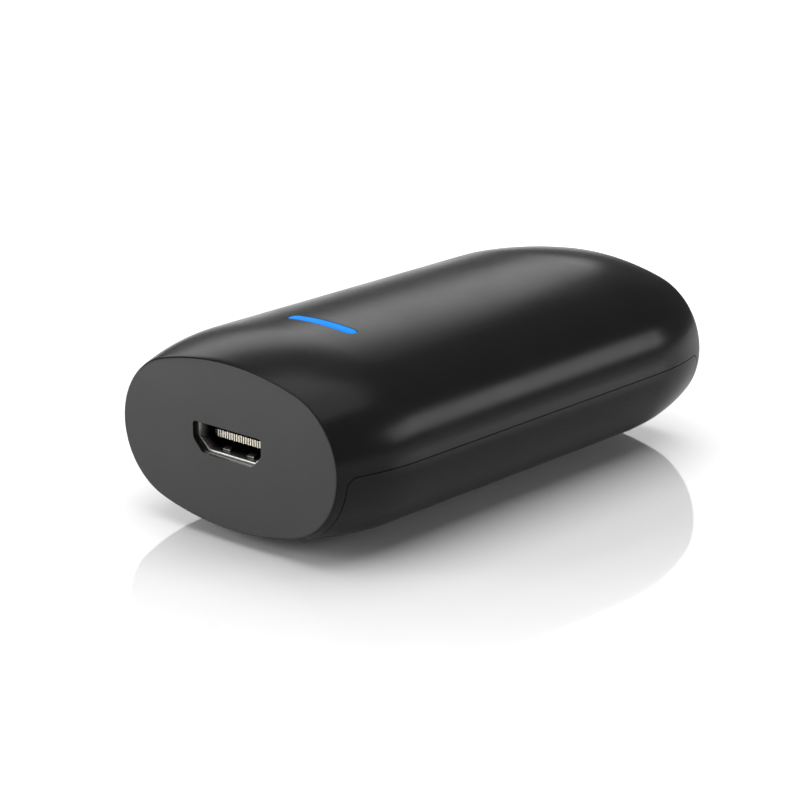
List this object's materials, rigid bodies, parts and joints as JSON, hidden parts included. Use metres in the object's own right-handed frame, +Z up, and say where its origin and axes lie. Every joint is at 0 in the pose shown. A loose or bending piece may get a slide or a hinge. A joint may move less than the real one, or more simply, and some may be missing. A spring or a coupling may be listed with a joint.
{
  "type": "digital signage player",
  "caption": "Pocket-sized signage player: oval plastic case tapered to flat ends, video socket in front, network socket behind, light bar on top.",
  "frame": {"origin": "middle of the footprint, on the surface that the rubber foot stands on", "axes": "+X across the width, +Y along the length away from the video socket's face, +Z up"},
  "size_m": [0.0524, 0.0914, 0.0312],
  "materials": {
    "case": "satin",
    "foot": "matte",
    "light_guide": "gloss",
    "light_block": "matte",
    "lamps": "gloss",
    "board": "satin",
    "steel": "satin",
    "insulator": "matte",
    "gold": "gloss",
    "button": "matte",
    "screw": "satin",
    "chip": "matte",
    "pad": "matte",
    "heat_sink": "anodised",
    "can": "satin",
    "ferrite": "matte",
    "winding": "satin",
    "ceramic": "matte"
  },
  "bodies": {
    "player": {"upper_housing": "case", "lower_cover": "case", "foot_pad": "foot", "status_light_bar": "light_guide", "light_bar_sleeve": "light_block", "status_leds": "lamps", "main_board": "board", "hdmi_shell": "steel", "hdmi_insulator": "insulator", "hdmi_contacts": "gold", "ethernet_jack_shield": "steel", "ethernet_jack_insert": "insulator", "ethernet_contacts": "gold", "reset_switch": "insulator", "reset_spring": "steel", "cover_screws": "screw", "system_chip": "chip", "thermal_pad": "pad", "heat_sink": "heat_sink", "memory_chips": "chip", "storage_chip": "chip", "ethernet_phy_chip": "chip", "timing_crystal": "steel", "regulator_shield_can": "steel", "voltage_regulators": "chip", "ethernet_isolator": "chip", "power_transformer_core": "ferrite", "power_transformer_winding": "winding", "power_inductor": "ferrite", "capacitor_cans": "can", "capacitor_bases": "chip", "rectifier_diodes": "chip", "power_control_chips": "chip", "ceramic_capacitors": "ceramic", "signal_resistors": "chip"},
    "reset_button": {"reset_plunger": "button"}
  },
  "joints": [
    {"name": "reset_press", "type": "slide", "parent": "player", "child": "reset_button", "axis": [0, -1, 0], "range_m": [0, 0.00025], "stiffness_N_per_m": 6000, "springref_m": -0.0001, "deforming": ["reset_spring"]}
  ]
}
